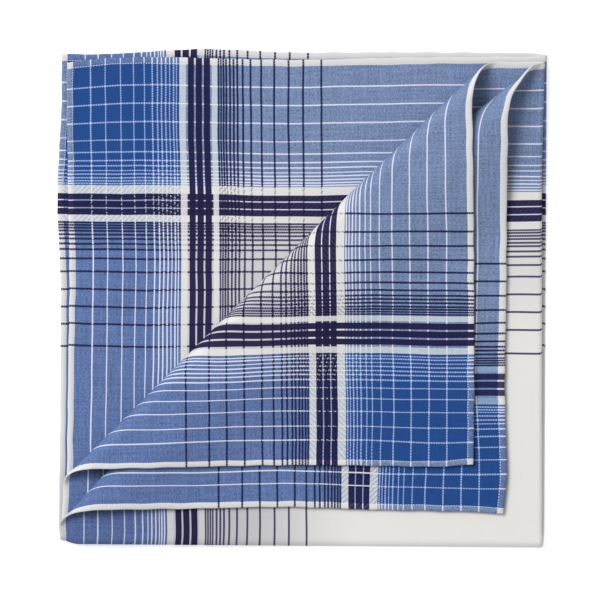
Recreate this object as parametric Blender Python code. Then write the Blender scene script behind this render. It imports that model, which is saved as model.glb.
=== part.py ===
"""Folded cotton handkerchief, modelled as one closed sheet of cloth.

A square of cloth is laid out flat, scored along its hem and its folds, and then folded as by
hand: in half to the left, in half again upwards, and last the free corners of the two upper
quarters are turned back across the diagonal in soft rolls. The quarters lie, from the bottom:
under, inner, inner turned and outer turned. The two turned corners lie on top of them.

Lengths in this file are millimetres, and the finished mesh is in metres. +Z is up. The cloth
rests on Z = 0, with the origin under the middle of the folded square.
"""

import math
from dataclasses import dataclass, fields

import bmesh
import bpy
from mathutils import Vector

NODE_NAME = "handkerchief"
METRES_PER_MM = 0.001
QUARTER_TURN = math.pi / 2.0

# The cloth laid out flat, and where its two straight folds run
CLOTH_WIDTH = 427.3
CLOTH_LENGTH = 430.5
RIGHT_FOLD_AT = 215.0
BOTTOM_FOLD_AT = 216.5

# Thickness of the cloth and of its rolled hem
CLOTH_THICKNESS = 1.0
HEM_THICKNESS = 1.4
HEM_WIDTH = 2.6
HEM_STEP = 0.5
HEM_GROUP = "hem"

# Height from one layer to the next, and how far the layers swell apart in places
LAYER_PITCH = 1.8
SWELL = 0.2
SWELL_LENGTH_X = 38.0
SWELL_LENGTH_Y = 47.0
MIDDLE_LEVEL = 1.5

# Radius of the fold on the right, and the reach in which the layers on a fold's two sides meet
RIGHT_FOLD_RADIUS = 1.2
MEETING_REACH = 9.0

# The upper left corner of the inner quarter sags where its two hems meet
SAG = 2.2
SAG_REACH_X = 30.0
SAG_REACH_Y = 62.0

# The hems wander a little from a straight line, and bulge where the dark bands end in them
HEM_WANDER = 0.3
HEM_WANDER_LENGTH = 31.0
HEM_WANDER_DEPTH = 30.0
BULGE_AT = 62.0
BULGE_REACH = 48.0
UNDER_BULGE = 2.0
INNER_BULGE = 0.7

# The stack leans out at the left end of the bottom fold, whose corner is drawn in and rounded
LOWER_FLARE = 1.0
UPPER_FLARE = 1.7
FOOT_FLARE_REACH = 75.0
CORNER_REACH = 12.0
CORNER_IN = 0.4
CORNER_LIFT = 2.2

# The two turned quarters lean out at the upper end of the fold on the right
TOP_FLARE = 1.2
TOP_FLARE_REACH = 55.0

# Spacing of the lines that are scored on the flat cloth
GRID_SPACING = 21.0
RIGHT_FOLD_SCORES = (-1.885, -1.257, -0.628, 0.0, 0.628, 1.257, 1.885)
BOTTOM_FOLD_SCORES = (-4.24, -3.2, -2.3, -1.414, -0.707, 0.0, 0.707, 1.414, 2.3, 3.2, 4.24)
ROLL_SPACING = 2.1
FALL_SPACING = 10.0
FALL_SCORES = 4
SMALLEST_STEP = 0.35

COTTON_BLUE = (0.16, 0.26, 0.50, 1.0)
COTTON_ROUGHNESS = 0.9


def smooth(low, high, value):
    """Rise smoothly from 0 at low to 1 at high."""
    share = min(max((value - low) / (high - low), 0.0), 1.0)
    return share * share * (3.0 - 2.0 * share)


def near(distance, reach):
    """Fall smoothly from 1 where the distance is 0 to 0 where it is the reach or more."""
    return 1.0 - smooth(0.0, reach, abs(distance))


def between(start, end, share):
    """Point a share of the way from start to end."""
    return tuple(a + (b - a) * share for a, b in zip(start, end))


def quarter_ellipse_length(width, height):
    """Length of a quarter of an ellipse."""
    return QUARTER_TURN * math.sqrt((width * width + height * height) / 2.0)


def height_at(level, x, y, thickness):
    """Height of the middle of the cloth, level layers above the lowest one."""
    waves = 1.0 + math.sin(x / SWELL_LENGTH_X + 0.6) * math.cos(y / SWELL_LENGTH_Y - 0.9)
    return thickness / 2.0 + level * (LAYER_PITCH + SWELL * waves)


@dataclass(frozen=True)
class Quarter:
    """Outline of one quarter of the cloth as it lies, seen from above."""

    hem_top: tuple
    fold_top: tuple
    hem_foot: tuple
    fold_foot: tuple

    def mixed_with(self, other, share):
        """Outline a share of the way from this quarter to another one."""
        corners = ("hem_top", "fold_top", "hem_foot", "fold_foot")
        return Quarter(*(between(getattr(self, name), getattr(other, name), share) for name in corners))

    def place(self, from_fold, from_foot):
        """Point inside the outline, by its shares of the way from the fold and from the foot."""
        foot = between(self.fold_foot, self.hem_foot, from_fold)
        top = between(self.fold_top, self.hem_top, from_fold)
        return between(foot, top, from_foot)


UNDER = Quarter(
    hem_top=(-106.7, 107.4),
    fold_top=(107.4, 107.7),
    hem_foot=(-107.0, -108.4),
    fold_foot=(106.3, -109.5),
)
INNER = Quarter(
    hem_top=(-103.9, 106.0),
    fold_top=(107.4, 106.0),
    hem_foot=(-103.4, -108.4),
    fold_foot=(106.3, -109.5),
)
INNER_TURNED = Quarter(
    hem_top=(-104.9, 105.0),
    fold_top=(105.1, 104.0),
    hem_foot=(-104.9, -108.4),
    fold_foot=(105.3, -109.5),
)
OUTER_TURNED = Quarter(
    hem_top=(-107.5, 103.7),
    fold_top=(105.1, 103.8),
    hem_foot=(-106.6, -108.4),
    fold_foot=(105.3, -109.5),
)


@dataclass(frozen=True)
class Section:
    """Section through a diagonal roll, at one place along it.

    along is that place, measured up and to the right, and crest is how far the roll's outer edge
    lies down and to the right of the origin. The roll's lower and upper halves are quarter
    ellipses, low_width by low_height and up_width by up_height. fall is the distance in which
    the turned corner comes down from the top of the roll to the layer below it.
    """

    along: float
    crest: float
    low_width: float
    low_height: float
    up_width: float
    up_height: float
    fall: float

    def eased_to(self, other, share):
        """Section a share of the way from this one to another one."""
        return Section(*between([getattr(self, field.name) for field in fields(self)],
                                [getattr(other, field.name) for field in fields(other)], share))


@dataclass(frozen=True)
class Roll:
    """A corner turned back over a soft diagonal roll.

    crease is where the fold would lie if it were pressed flat, level is the layer that is turned
    back, rest_level is the layer at which its corner comes to rest, and over is the roll that
    the corner lies over, if there is one.
    """

    sections: tuple
    crease: float
    level: float
    rest_level: float
    over: object = None

    def section_at(self, along):
        """Section at a place along the roll, eased between the two nearest stated ones."""
        if along <= self.sections[0].along:
            return self.sections[0]
        for before, after in zip(self.sections, self.sections[1:]):
            if along <= after.along:
                return before.eased_to(after, smooth(before.along, after.along, along))
        return self.sections[-1]

    def flap_height(self, section, x, y, thickness):
        """Height of the turned corner, beyond the top of its roll, at a place seen from above."""
        along = (x + y) / math.sqrt(2.0)
        down = (x - y) / math.sqrt(2.0)
        top = height_at(self.level, x, y, thickness) + section.low_height + section.up_height
        if self.over is None:
            fallen = smooth(0.0, section.fall, down - section.crest - section.up_width)
            return top + (height_at(self.rest_level, x, y, thickness) - top) * fallen
        under = self.over.section_at(along)
        layer = height_at(1.0, x, y, thickness) - height_at(0.0, x, y, thickness)
        covering = self.over.flap_height(under, x, y, thickness) + layer
        share = smooth(section.crest + section.up_width, under.crest + under.up_width, down)
        return top + (covering - top) * share

    def turn(self, x, y, thickness):
        """Turn a point of the quarter back over the roll, if it lies that far."""
        along = (x + y) / math.sqrt(2.0)
        section = self.section_at(along)
        low_length = quarter_ellipse_length(section.low_width, section.low_height)
        taken_low = low_length - section.low_width
        up_length = section.up_width + 2.0 * (section.crest - self.crease) - taken_low
        past_crest = section.crest - taken_low - (x - y) / math.sqrt(2.0)
        if past_crest <= -low_length:
            return x, y, height_at(self.level, x, y, thickness)

        if past_crest <= 0.0:
            angle = past_crest / low_length * QUARTER_TURN
            inward = section.low_width * (1.0 - math.cos(angle))
            lift = section.low_height * (1.0 + math.sin(angle))
        else:
            angle = min(past_crest / up_length, 1.0) * QUARTER_TURN
            inward = section.up_width * (1.0 - math.cos(angle)) + max(past_crest - up_length, 0.0)
            lift = section.low_height + section.up_height * math.sin(angle)
        down = section.crest + inward
        x = (along + down) / math.sqrt(2.0)
        y = (along - down) / math.sqrt(2.0)
        if past_crest > up_length:
            return x, y, self.flap_height(section, x, y, thickness)
        return x, y, height_at(self.level, x, y, thickness) + lift

    def scored_distances(self, corner):
        """Distances from a quarter's own corner at which the flat cloth is scored for the roll."""
        corner_down = (corner[0] - corner[1]) / math.sqrt(2.0)
        near = min(2.0 * self.crease - section.crest - section.up_width for section in self.sections)
        far = max(section.crest + section.low_width for section in self.sections)
        count = math.ceil((far - near) / ROLL_SPACING)
        roll = [near + (far - near) * step / count for step in range(count + 1)]
        fall = [near - FALL_SPACING * (step + 1) for step in range(FALL_SCORES)]
        return [down - corner_down for down in roll + fall]


INNER_ROLL = Roll(
    # along, crest, low width, low height, up width, up height, fall
    sections=(
        Section(-136.0, -5.9, 3.0, 2.6, 7.4, 3.6, 30.0),
        Section(-122.0, -6.7, 3.0, 2.6, 7.2, 3.6, 30.0),
        Section(-45.0, -6.5, 3.0, 2.6, 7.0, 3.6, 34.0),
        Section(60.0, -6.1, 3.0, 2.8, 7.2, 4.2, 38.0),
        Section(106.0, -4.6, 3.4, 3.4, 8.2, 5.6, 44.0),
        Section(125.0, -2.6, 3.6, 4.2, 9.2, 7.2, 46.0),
        Section(137.0, -0.9, 3.8, 4.6, 9.6, 8.2, 46.0),
    ),
    crease=-9.6,
    level=3.0,
    rest_level=4.0,
)
OUTER_ROLL = Roll(
    # along, crest, low width, low height, up width, up height, fall
    sections=(
        Section(-130.0, -18.1, 3.4, 3.6, 6.0, 6.6, 30.0),
        Section(-45.0, -18.2, 3.4, 3.6, 6.0, 6.6, 34.0),
        Section(45.0, -17.9, 3.4, 3.8, 6.2, 7.2, 38.0),
        Section(93.0, -17.0, 3.5, 4.2, 6.5, 8.2, 44.0),
        Section(128.0, -15.8, 3.6, 4.6, 6.8, 9.4, 46.0),
    ),
    crease=-21.2,
    level=2.0,
    rest_level=5.0,
    over=INNER_ROLL,
)


def fold_in_four(u, v):
    """Fold a point of the flat cloth in half to the left and then in half upwards.

    Args:
        u: place across the flat cloth, from its first corner.
        v: place down the flat cloth, from its first corner.

    Returns:
        x and y as seen from above, and the level in layers above the lowest one.
    """
    across = u - RIGHT_FOLD_AT
    half_width = RIGHT_FOLD_AT if across < 0.0 else CLOTH_WIDTH - RIGHT_FOLD_AT
    angle = min(max(across / RIGHT_FOLD_RADIUS, -QUARTER_TURN), QUARTER_TURN)
    past = max(abs(across) - RIGHT_FOLD_RADIUS * QUARTER_TURN, 0.0)
    reach = RIGHT_FOLD_RADIUS * (1.0 - math.cos(angle)) + past
    from_fold = reach / (half_width - RIGHT_FOLD_RADIUS * (QUARTER_TURN - 1.0))
    level = (1.0 + math.sin(angle)) / 2.0

    along = v - BOTTOM_FOLD_AT
    half_length = BOTTOM_FOLD_AT if along < 0.0 else CLOTH_LENGTH - BOTTOM_FOLD_AT
    radius = (MIDDLE_LEVEL - level) * LAYER_PITCH
    angle = min(max(along / radius, -QUARTER_TURN), QUARTER_TURN)
    past = max(abs(along) - radius * QUARTER_TURN, 0.0)
    outer_radius = MIDDLE_LEVEL * LAYER_PITCH
    reach = outer_radius - radius * math.cos(angle) + past
    from_foot = reach / (outer_radius + half_length - radius * QUARTER_TURN)
    level = MIDDLE_LEVEL + (MIDDLE_LEVEL - level) * math.sin(angle)

    side = smooth(-MEETING_REACH, MEETING_REACH, across)
    stack = smooth(-MEETING_REACH, MEETING_REACH, along)
    lower = UNDER.mixed_with(INNER, side)
    upper = OUTER_TURNED.mixed_with(INNER_TURNED, side)
    x, y = lower.mixed_with(upper, stack).place(from_fold, from_foot)

    to_hem = (1.0 - from_fold) * half_width
    to_top = (1.0 - from_foot) * half_length
    to_foot = from_foot * half_length
    near_hem = near(to_hem, HEM_WANDER_DEPTH)
    near_top = near(to_top, HEM_WANDER_DEPTH)
    x += HEM_WANDER * math.sin(v / HEM_WANDER_LENGTH) * near_hem
    y += HEM_WANDER * math.cos(u / HEM_WANDER_LENGTH) * near_top

    left_bulge = (UNDER_BULGE + (INNER_BULGE - UNDER_BULGE) * side) * (1.0 - stack)
    top_bulge = UNDER_BULGE * (1.0 - side) * (1.0 - stack)
    x -= left_bulge * near(to_top - BULGE_AT, BULGE_REACH) * near_hem
    y += top_bulge * near(to_hem - BULGE_AT, BULGE_REACH) * near_top
    sag = max(1.0 - to_hem / SAG_REACH_X, 0.0) ** 2 * near(to_top, SAG_REACH_Y)
    y -= SAG * sag * side * (1.0 - stack)

    foot_flare = LOWER_FLARE + (UPPER_FLARE - LOWER_FLARE) * stack
    x -= foot_flare * near(to_foot, FOOT_FLARE_REACH) * near_hem
    x += TOP_FLARE * near(to_top, TOP_FLARE_REACH) * (1.0 - near_hem) * stack
    corner = near(to_hem, CORNER_REACH) * near(to_foot, CORNER_REACH)
    x += CORNER_IN * corner
    y += CORNER_LIFT * corner
    return x, y, level


def thickness_at(u, v):
    """Thickness of the cloth at a place: the rolled hem is thicker than the rest."""
    to_edge = min(u, v, CLOTH_WIDTH - u, CLOTH_LENGTH - v)
    return HEM_THICKNESS if to_edge < HEM_WIDTH + HEM_STEP / 2.0 else CLOTH_THICKNESS


def fold_point(u, v):
    """Place of a point of the flat cloth once the handkerchief is folded."""
    x, y, level = fold_in_four(u, v)
    thickness = thickness_at(u, v)
    if v <= BOTTOM_FOLD_AT + MEETING_REACH or abs(u - RIGHT_FOLD_AT) < RIGHT_FOLD_RADIUS * 2.0:
        return x, y, height_at(level, x, y, thickness)
    roll = INNER_ROLL if u < RIGHT_FOLD_AT else OUTER_ROLL
    return roll.turn(x, y, thickness)


def straight_scores(length, fold_at, fold_scores):
    """Places of the lines scored straight across the flat cloth, in one direction."""
    hem = (HEM_WIDTH, HEM_WIDTH + HEM_STEP)
    lines = list(hem) + [length - width for width in hem] + [fold_at + offset for offset in fold_scores]
    for start, end in ((hem[-1], fold_at + fold_scores[0]), (fold_at + fold_scores[-1], length - hem[-1])):
        count = round((end - start) / GRID_SPACING)
        lines += [start + (end - start) * step / count for step in range(1, count)]
    return sorted(lines)


def score(sheet, faces, point, normal):
    """Cut the given faces of the flat sheet along one straight line."""
    edges = {edge for face in faces for edge in face.edges}
    verts = {vert for face in faces for vert in face.verts}
    bmesh.ops.bisect_plane(sheet, geom=list(verts) + list(edges) + list(faces), dist=1e-4,
                           plane_co=point, plane_no=normal)


def score_roll(sheet, roll, quarter, corner_u):
    """Score the flat cloth along a diagonal roll, only in the quarter that is turned back."""
    inward = 1.0 if corner_u == 0.0 else -1.0
    normal = (inward, 1.0, 0.0)
    for distance in roll.scored_distances(quarter.hem_top):
        step = distance / math.sqrt(2.0)
        point = (corner_u + inward * step, -CLOTH_LENGTH + step, 0.0)
        turned = []
        for face in sheet.faces:
            centre = face.calc_center_median()
            in_half = (centre.x < RIGHT_FOLD_AT) == (corner_u == 0.0)
            if in_half and centre.y < -BOTTOM_FOLD_AT:
                turned.append(face)
        score(sheet, turned, point, normal)


def centre_on_origin(sheet):
    """Move the folded sheet sideways so that the middle of its outline is over the origin."""
    xs = [vert.co.x for vert in sheet.verts]
    ys = [vert.co.y for vert in sheet.verts]
    middle = Vector(((min(xs) + max(xs)) / 2.0, (min(ys) + max(ys)) / 2.0, 0.0))
    bmesh.ops.translate(sheet, verts=list(sheet.verts), vec=-middle)


def make_cloth_mesh():
    """Lay out the flat cloth, score it along its hem and folds, and fold it."""
    sheet = bmesh.new()
    corners = ((0.0, 0.0), (0.0, -CLOTH_LENGTH), (CLOTH_WIDTH, -CLOTH_LENGTH), (CLOTH_WIDTH, 0.0))
    sheet.faces.new([sheet.verts.new((u, v, 0.0)) for u, v in corners])
    for u in straight_scores(CLOTH_WIDTH, RIGHT_FOLD_AT, RIGHT_FOLD_SCORES):
        score(sheet, list(sheet.faces), (u, 0.0, 0.0), (1.0, 0.0, 0.0))
    for v in straight_scores(CLOTH_LENGTH, BOTTOM_FOLD_AT, BOTTOM_FOLD_SCORES):
        score(sheet, list(sheet.faces), (0.0, -v, 0.0), (0.0, 1.0, 0.0))
    score_roll(sheet, INNER_ROLL, OUTER_TURNED, 0.0)
    score_roll(sheet, OUTER_ROLL, INNER_TURNED, CLOTH_WIDTH)
    bmesh.ops.remove_doubles(sheet, verts=list(sheet.verts), dist=SMALLEST_STEP)
    bmesh.ops.triangulate(sheet, faces=list(sheet.faces))

    hem_layer = sheet.verts.layers.deform.verify()
    for vert in sheet.verts:
        u, v = vert.co.x, -vert.co.y
        vert[hem_layer][0] = 1.0 if thickness_at(u, v) == HEM_THICKNESS else 0.0
        vert.co = Vector(fold_point(u, v)) * METRES_PER_MM
    centre_on_origin(sheet)
    mesh = bpy.data.meshes.new(NODE_NAME)
    sheet.to_mesh(mesh)
    sheet.free()
    mesh.shade_smooth()
    return mesh


def make_cotton():
    """Woven cotton: blue on the whole, and matt."""
    cotton = bpy.data.materials.new("woven_cotton")
    cotton.use_nodes = True
    shader = cotton.node_tree.nodes["Principled BSDF"]
    shader.inputs["Base Color"].default_value = COTTON_BLUE
    shader.inputs["Roughness"].default_value = COTTON_ROUGHNESS
    shader.inputs["Metallic"].default_value = 0.0
    return cotton


def make_handkerchief():
    """Make the folded handkerchief, and give the cloth and its hem their thickness."""
    cloth = bpy.data.objects.new(NODE_NAME, make_cloth_mesh())
    bpy.context.scene.collection.objects.link(cloth)
    cloth.data.materials.append(make_cotton())
    cloth.vertex_groups.new(name=HEM_GROUP)
    thicken = cloth.modifiers.new("cloth_thickness", "SOLIDIFY")
    thicken.thickness = HEM_THICKNESS * METRES_PER_MM
    thicken.offset = 0.0
    thicken.vertex_group = HEM_GROUP
    thicken.thickness_vertex_group = CLOTH_THICKNESS / HEM_THICKNESS


def main():
    """Clear the scene and make the handkerchief."""
    for item in list(bpy.data.objects):
        bpy.data.objects.remove(item, do_unlink=True)
    make_handkerchief()


main()
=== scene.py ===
"""Folded cotton handkerchief: the visible cloth, its hem stitches, and a plain studio.

The cloth is one sheet of yarn-dyed cotton, 427 by 430 mm when it is open. It is folded in half to
the left and in half again upwards, and the free corners of its two upper quarters are turned back
across the diagonal in soft rolls. Its border is a graded check of blue, navy and white yarns.

Lengths are millimetres in the cloth's own sizes, and metres in the finished meshes.
"""

import logging
import math
from dataclasses import dataclass, field
from enum import Enum
from typing import Iterable, Optional, Sequence, Union

import bpy
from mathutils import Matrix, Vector

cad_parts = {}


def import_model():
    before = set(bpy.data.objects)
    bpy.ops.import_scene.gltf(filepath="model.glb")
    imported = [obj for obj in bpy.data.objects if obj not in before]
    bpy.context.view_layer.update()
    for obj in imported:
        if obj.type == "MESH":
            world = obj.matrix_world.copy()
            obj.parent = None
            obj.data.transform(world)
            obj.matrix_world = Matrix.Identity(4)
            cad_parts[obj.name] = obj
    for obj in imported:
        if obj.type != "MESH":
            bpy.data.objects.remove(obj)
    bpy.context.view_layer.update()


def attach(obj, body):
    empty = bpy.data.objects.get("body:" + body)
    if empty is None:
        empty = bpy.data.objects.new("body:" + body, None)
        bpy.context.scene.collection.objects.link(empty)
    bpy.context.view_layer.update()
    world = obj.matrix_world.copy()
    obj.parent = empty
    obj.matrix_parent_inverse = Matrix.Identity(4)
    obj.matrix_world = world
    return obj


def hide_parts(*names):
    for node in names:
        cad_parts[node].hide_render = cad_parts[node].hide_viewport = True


METRES_PER_MM = 0.001
QUARTER_TURN = math.pi / 2.0
ROOT_TWO = math.sqrt(2.0)
CLOTH_NODE = "handkerchief"
BODY = "root"
MAP_NAME = "OFBake"

Point = tuple[float, ...]
Link = Union[bpy.types.Node, bpy.types.NodeSocket]

log = logging.getLogger("handkerchief")


def smooth(low: float, high: float, value: float) -> float:
    """Rise smoothly from 0 where the value is low or less to 1 where it is high or more."""
    share = min(max((value - low) / (high - low), 0.0), 1.0)
    return share * share * (3.0 - 2.0 * share)


def near(distance: float, reach: float) -> float:
    """Fall smoothly from 1 where the distance is 0 to 0 where it is the reach or more."""
    return 1.0 - smooth(0.0, reach, abs(distance))


def between(start: Iterable[float], end: Iterable[float], share: float) -> Point:
    """Find the point a share of the way from start to end."""
    return tuple(a + (b - a) * share for a, b in zip(start, end))


def quarter_ellipse_length(width: float, height: float) -> float:
    """Measure a quarter of an ellipse from its two half axes, to within a few per cent."""
    return QUARTER_TURN * math.sqrt((width * width + height * height) / 2.0)


def linear_colour(code: str) -> tuple[float, float, float, float]:
    """Turn an sRGB hex colour into linear light.

    Args:
        code: six hex digits after a hash mark.

    Returns:
        Linear red, green, blue and an alpha of 1.
    """
    channels = [int(code[place:place + 2], 16) / 255.0 for place in (1, 3, 5)]
    linear = [c / 12.92 if c <= 0.04045 else ((c + 0.055) / 1.055) ** 2.4 for c in channels]
    return (linear[0], linear[1], linear[2], 1.0)


def add_node(tree: bpy.types.NodeTree, kind: str, *values: object, **settings: object) -> bpy.types.Node:
    """Add a shader node with its settings, and fill or link its inputs.

    A node among the values stands for its first output. Inputs and outputs that the settings
    switch off don't count.

    Args:
        tree: node tree that gets the node.
        kind: Blender's name for the node type, after the word ShaderNode, or in capitals the
            name of what a Math node works out.
        *values: value or link of each input, in the node's own order.
        **settings: attributes to set on the node itself.

    Returns:
        The new node.
    """
    if kind.isupper():
        kind, settings = "Math", {"operation": kind}
    node = tree.nodes.new("ShaderNode" + kind)
    for name, value in settings.items():
        setattr(node, name, value)
    inputs = [socket for socket in node.inputs if socket.enabled]
    for socket, value in zip(inputs, values):
        if isinstance(value, bpy.types.Node):
            value = next(output for output in value.outputs if output.enabled)
        if isinstance(value, bpy.types.NodeSocket):
            tree.links.new(value, socket)
        else:
            socket.default_value = value
    return node


@dataclass(frozen=True)
class Quarter:
    """Outline of one quarter of the cloth as it lies, seen from above, in millimetres."""

    hem_top: Point
    fold_top: Point
    hem_foot: Point
    fold_foot: Point

    def mixed_with(self, other: "Quarter", share: float) -> "Quarter":
        """Find the outline a share of the way to another quarter."""
        pairs = zip(vars(self).values(), vars(other).values())
        return Quarter(*(between(own, others, share) for own, others in pairs))

    def place(self, from_fold: float, from_foot: float) -> Point:
        """Find a point inside the outline.

        Args:
            from_fold: share of the way from the fold to the hem.
            from_foot: share of the way from the foot to the top.

        Returns:
            The point, seen from above.
        """
        foot = between(self.fold_foot, self.hem_foot, from_fold)
        top = between(self.fold_top, self.hem_top, from_fold)
        return between(foot, top, from_foot)


@dataclass(frozen=True)
class Section:
    """Section through a diagonal roll, at one place along it, in millimetres.

    along is that place, measured up and to the right, and crest is how far the roll's outer edge
    lies down and to the right of the middle. The roll's lower and upper halves are quarter
    ellipses. fall is the distance in which the turned corner comes down to the layer below it.
    """

    along: float
    crest: float
    low_width: float
    low_height: float
    up_width: float
    up_height: float
    fall: float

    def eased_to(self, other: "Section", share: float) -> "Section":
        """Find the section a share of the way to another one."""
        return Section(*between(vars(self).values(), vars(other).values(), share))


@dataclass(frozen=True)
class Layers:
    """Heights of the folded layers above the surface that they lie on, in millimetres."""

    pitch: float = 1.8
    swell: float = 0.2
    swell_x: float = 38.0
    swell_y: float = 47.0
    start_x: float = 0.6
    start_y: float = -0.9
    lowest: float = 0.5

    def height(self, level: float, x: float, y: float) -> float:
        """Find the height of the middle of the cloth, so many layers above the lowest one."""
        wave = math.sin(x / self.swell_x + self.start_x) * math.cos(y / self.swell_y + self.start_y)
        return self.lowest + level * (self.pitch + self.swell * (1.0 + wave))


@dataclass(frozen=True)
class Roll:
    """A corner turned back over a soft diagonal roll.

    crease is where the fold would lie if it were pressed flat, level is the layer that is turned
    back, rest_level is the layer at which its corner comes to rest, and over is the roll that
    the corner lies over, if there is one.
    """

    sections: tuple[Section, ...]
    crease: float
    level: float
    rest_level: float
    layers: Layers
    over: Optional["Roll"] = None

    def section_at(self, along: float) -> Section:
        """Find the section at a place along the roll, eased between the two nearest stated ones.

        Args:
            along: place along the roll.

        Returns:
            The section there.
        """
        if along <= self.sections[0].along:
            return self.sections[0]
        for before, after in zip(self.sections, self.sections[1:]):
            if along <= after.along:
                return before.eased_to(after, smooth(before.along, after.along, along))
        return self.sections[-1]

    def flap_height(self, section: Section, x: float, y: float) -> float:
        """Find the height of the turned corner beyond the top of its roll.

        Args:
            section: the roll's section there.
            x: place across, seen from above.
            y: place up the picture, seen from above.

        Returns:
            The height above the surface.
        """
        along = (x + y) / ROOT_TWO
        down = (x - y) / ROOT_TWO
        top = self.layers.height(self.level, x, y) + section.low_height + section.up_height
        if self.over is None:
            fallen = smooth(0.0, section.fall, down - section.crest - section.up_width)
            return top + (self.layers.height(self.rest_level, x, y) - top) * fallen
        under = self.over.section_at(along)
        layer = self.layers.height(1.0, x, y) - self.layers.height(0.0, x, y)
        covering = self.over.flap_height(under, x, y) + layer
        share = smooth(section.crest + section.up_width, under.crest + under.up_width, down)
        return top + (covering - top) * share

    def turn(self, x: float, y: float) -> Point:
        """Turn a point of the quarter back over the roll, if it lies that far.

        Args:
            x: place across the quarter as it would lie flat.
            y: place up the quarter as it would lie flat.

        Returns:
            x, y and z of the point after the turn.
        """
        along = (x + y) / ROOT_TWO
        section = self.section_at(along)
        low_length = quarter_ellipse_length(section.low_width, section.low_height)
        taken_low = low_length - section.low_width
        up_length = section.up_width + 2.0 * (section.crest - self.crease) - taken_low
        past_crest = section.crest - taken_low - (x - y) / ROOT_TWO
        if past_crest <= -low_length:
            return x, y, self.layers.height(self.level, x, y)

        if past_crest <= 0.0:
            angle = past_crest / low_length * QUARTER_TURN
            inward = section.low_width * (1.0 - math.cos(angle))
            lift = section.low_height * (1.0 + math.sin(angle))
        else:
            angle = min(past_crest / up_length, 1.0) * QUARTER_TURN
            inward = section.up_width * (1.0 - math.cos(angle)) + max(past_crest - up_length, 0.0)
            lift = section.low_height + section.up_height * math.sin(angle)
        down = section.crest + inward
        x = (along + down) / ROOT_TWO
        y = (along - down) / ROOT_TWO
        if past_crest > up_length:
            return x, y, self.flap_height(section, x, y)
        return x, y, self.layers.height(self.level, x, y) + lift


LAYERS = Layers()
INNER_ROLL = Roll(
    # along, crest, low width, low height, up width, up height, fall
    sections=(
        Section(-136.0, -5.9, 3.0, 2.6, 7.4, 3.6, 30.0),
        Section(-122.0, -6.7, 3.0, 2.6, 7.2, 3.6, 30.0),
        Section(-45.0, -6.5, 3.0, 2.6, 7.0, 3.6, 34.0),
        Section(60.0, -6.1, 3.0, 2.8, 7.2, 4.2, 38.0),
        Section(106.0, -4.6, 3.4, 3.4, 8.2, 5.6, 44.0),
        Section(125.0, -2.6, 3.6, 4.2, 9.2, 7.2, 46.0),
        Section(137.0, -0.9, 3.8, 4.6, 9.6, 8.2, 46.0),
    ),
    crease=-9.6,
    level=3.0,
    rest_level=4.0,
    layers=LAYERS,
)
OUTER_ROLL = Roll(
    # along, crest, low width, low height, up width, up height, fall
    sections=(
        Section(-130.0, -18.1, 3.4, 3.6, 6.0, 6.6, 30.0),
        Section(-45.0, -18.2, 3.4, 3.6, 6.0, 6.6, 34.0),
        Section(45.0, -17.9, 3.4, 3.8, 6.2, 7.2, 38.0),
        Section(93.0, -17.0, 3.5, 4.2, 6.5, 8.2, 44.0),
        Section(128.0, -15.8, 3.6, 4.6, 6.8, 9.4, 46.0),
    ),
    crease=-21.2,
    level=2.0,
    rest_level=5.0,
    layers=LAYERS,
    over=INNER_ROLL,
)


@dataclass(frozen=True)
class Pull:
    """A soft pull in one quarter of the cloth, in millimetres.

    side is 1 right of the first fold and stack is 1 in the upper two quarters. to_hem and to_top
    say where the pull is strongest, and hem_reach and top_reach where it has faded out.
    """

    side: int
    stack: int
    to_hem: float
    to_top: float
    hem_reach: float
    top_reach: float
    step: Point

    def share(self, side: float, stack: float, to_hem: float, to_top: float) -> float:
        """Find how much of the pull is felt at a place.

        Args:
            side: 0 left of the first fold and 1 right of it.
            stack: 0 in the lower two quarters and 1 in the upper two.
            to_hem: distance to the hem on the left.
            to_top: distance to the hem at the top.

        Returns:
            A share from 0 to 1.
        """
        inside = (side if self.side else 1.0 - side) * (stack if self.stack else 1.0 - stack)
        felt = near(to_hem - self.to_hem, self.hem_reach) * near(to_top - self.to_top, self.top_reach)
        return inside * felt


# Pulls that keep the threads of each quarter from lying quite straight
PULLS = (
    # Inner quarter: side, stack, to hem, to top, hem reach, top reach, step
    Pull(1, 0, 50.0, 90.0, 140.0, 80.0, (1.0, 0.0)),
    Pull(1, 0, 0.0, 22.0, 30.0, 40.0, (-0.5, 0.0)),
    Pull(1, 0, 97.0, 28.0, 60.0, 110.0, (0.0, -1.0)),
    Pull(1, 0, 35.0, 130.0, 60.0, 75.0, (0.0, -1.4)),
    Pull(1, 0, 174.0, 0.0, 110.0, 40.0, (0.0, 0.5)),
    # Lowest quarter
    Pull(0, 0, 174.0, 0.0, 110.0, 40.0, (0.0, 0.5)),
    # The turned quarter on top
    Pull(1, 1, 112.0, 4.0, 110.0, 24.0, (0.0, 1.0)),
    Pull(1, 1, 28.0, 33.0, 36.0, 70.0, (0.0, 0.4)),
    Pull(1, 1, 0.0, 77.0, 17.0, 80.0, (1.5, 0.0)),
    # The turned quarter below it, and the part of it that isn't turned
    Pull(0, 1, 128.0, 14.0, 130.0, 18.0, (0.0, -1.15)),
    Pull(0, 1, 49.0, 0.0, 55.0, 45.0, (0.0, -1.0)),
    Pull(0, 1, 6.0, 99.0, 40.0, 52.0, (1.3, 0.0)),
    Pull(0, 1, 0.0, 95.0, 45.0, 110.0, (0.4, 0.0)),
    Pull(0, 1, 10.0, 8.0, 26.0, 42.0, (-1.1, 0.0)),
    Pull(0, 1, 3.0, 44.0, 24.0, 60.0, (0.0, -0.85)),
    Pull(0, 1, 62.0, 14.0, 34.0, 18.0, (0.0, -0.7)),
    Pull(0, 1, 50.0, 213.0, 130.0, 70.0, (0.85, 0.0)),
)


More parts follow.
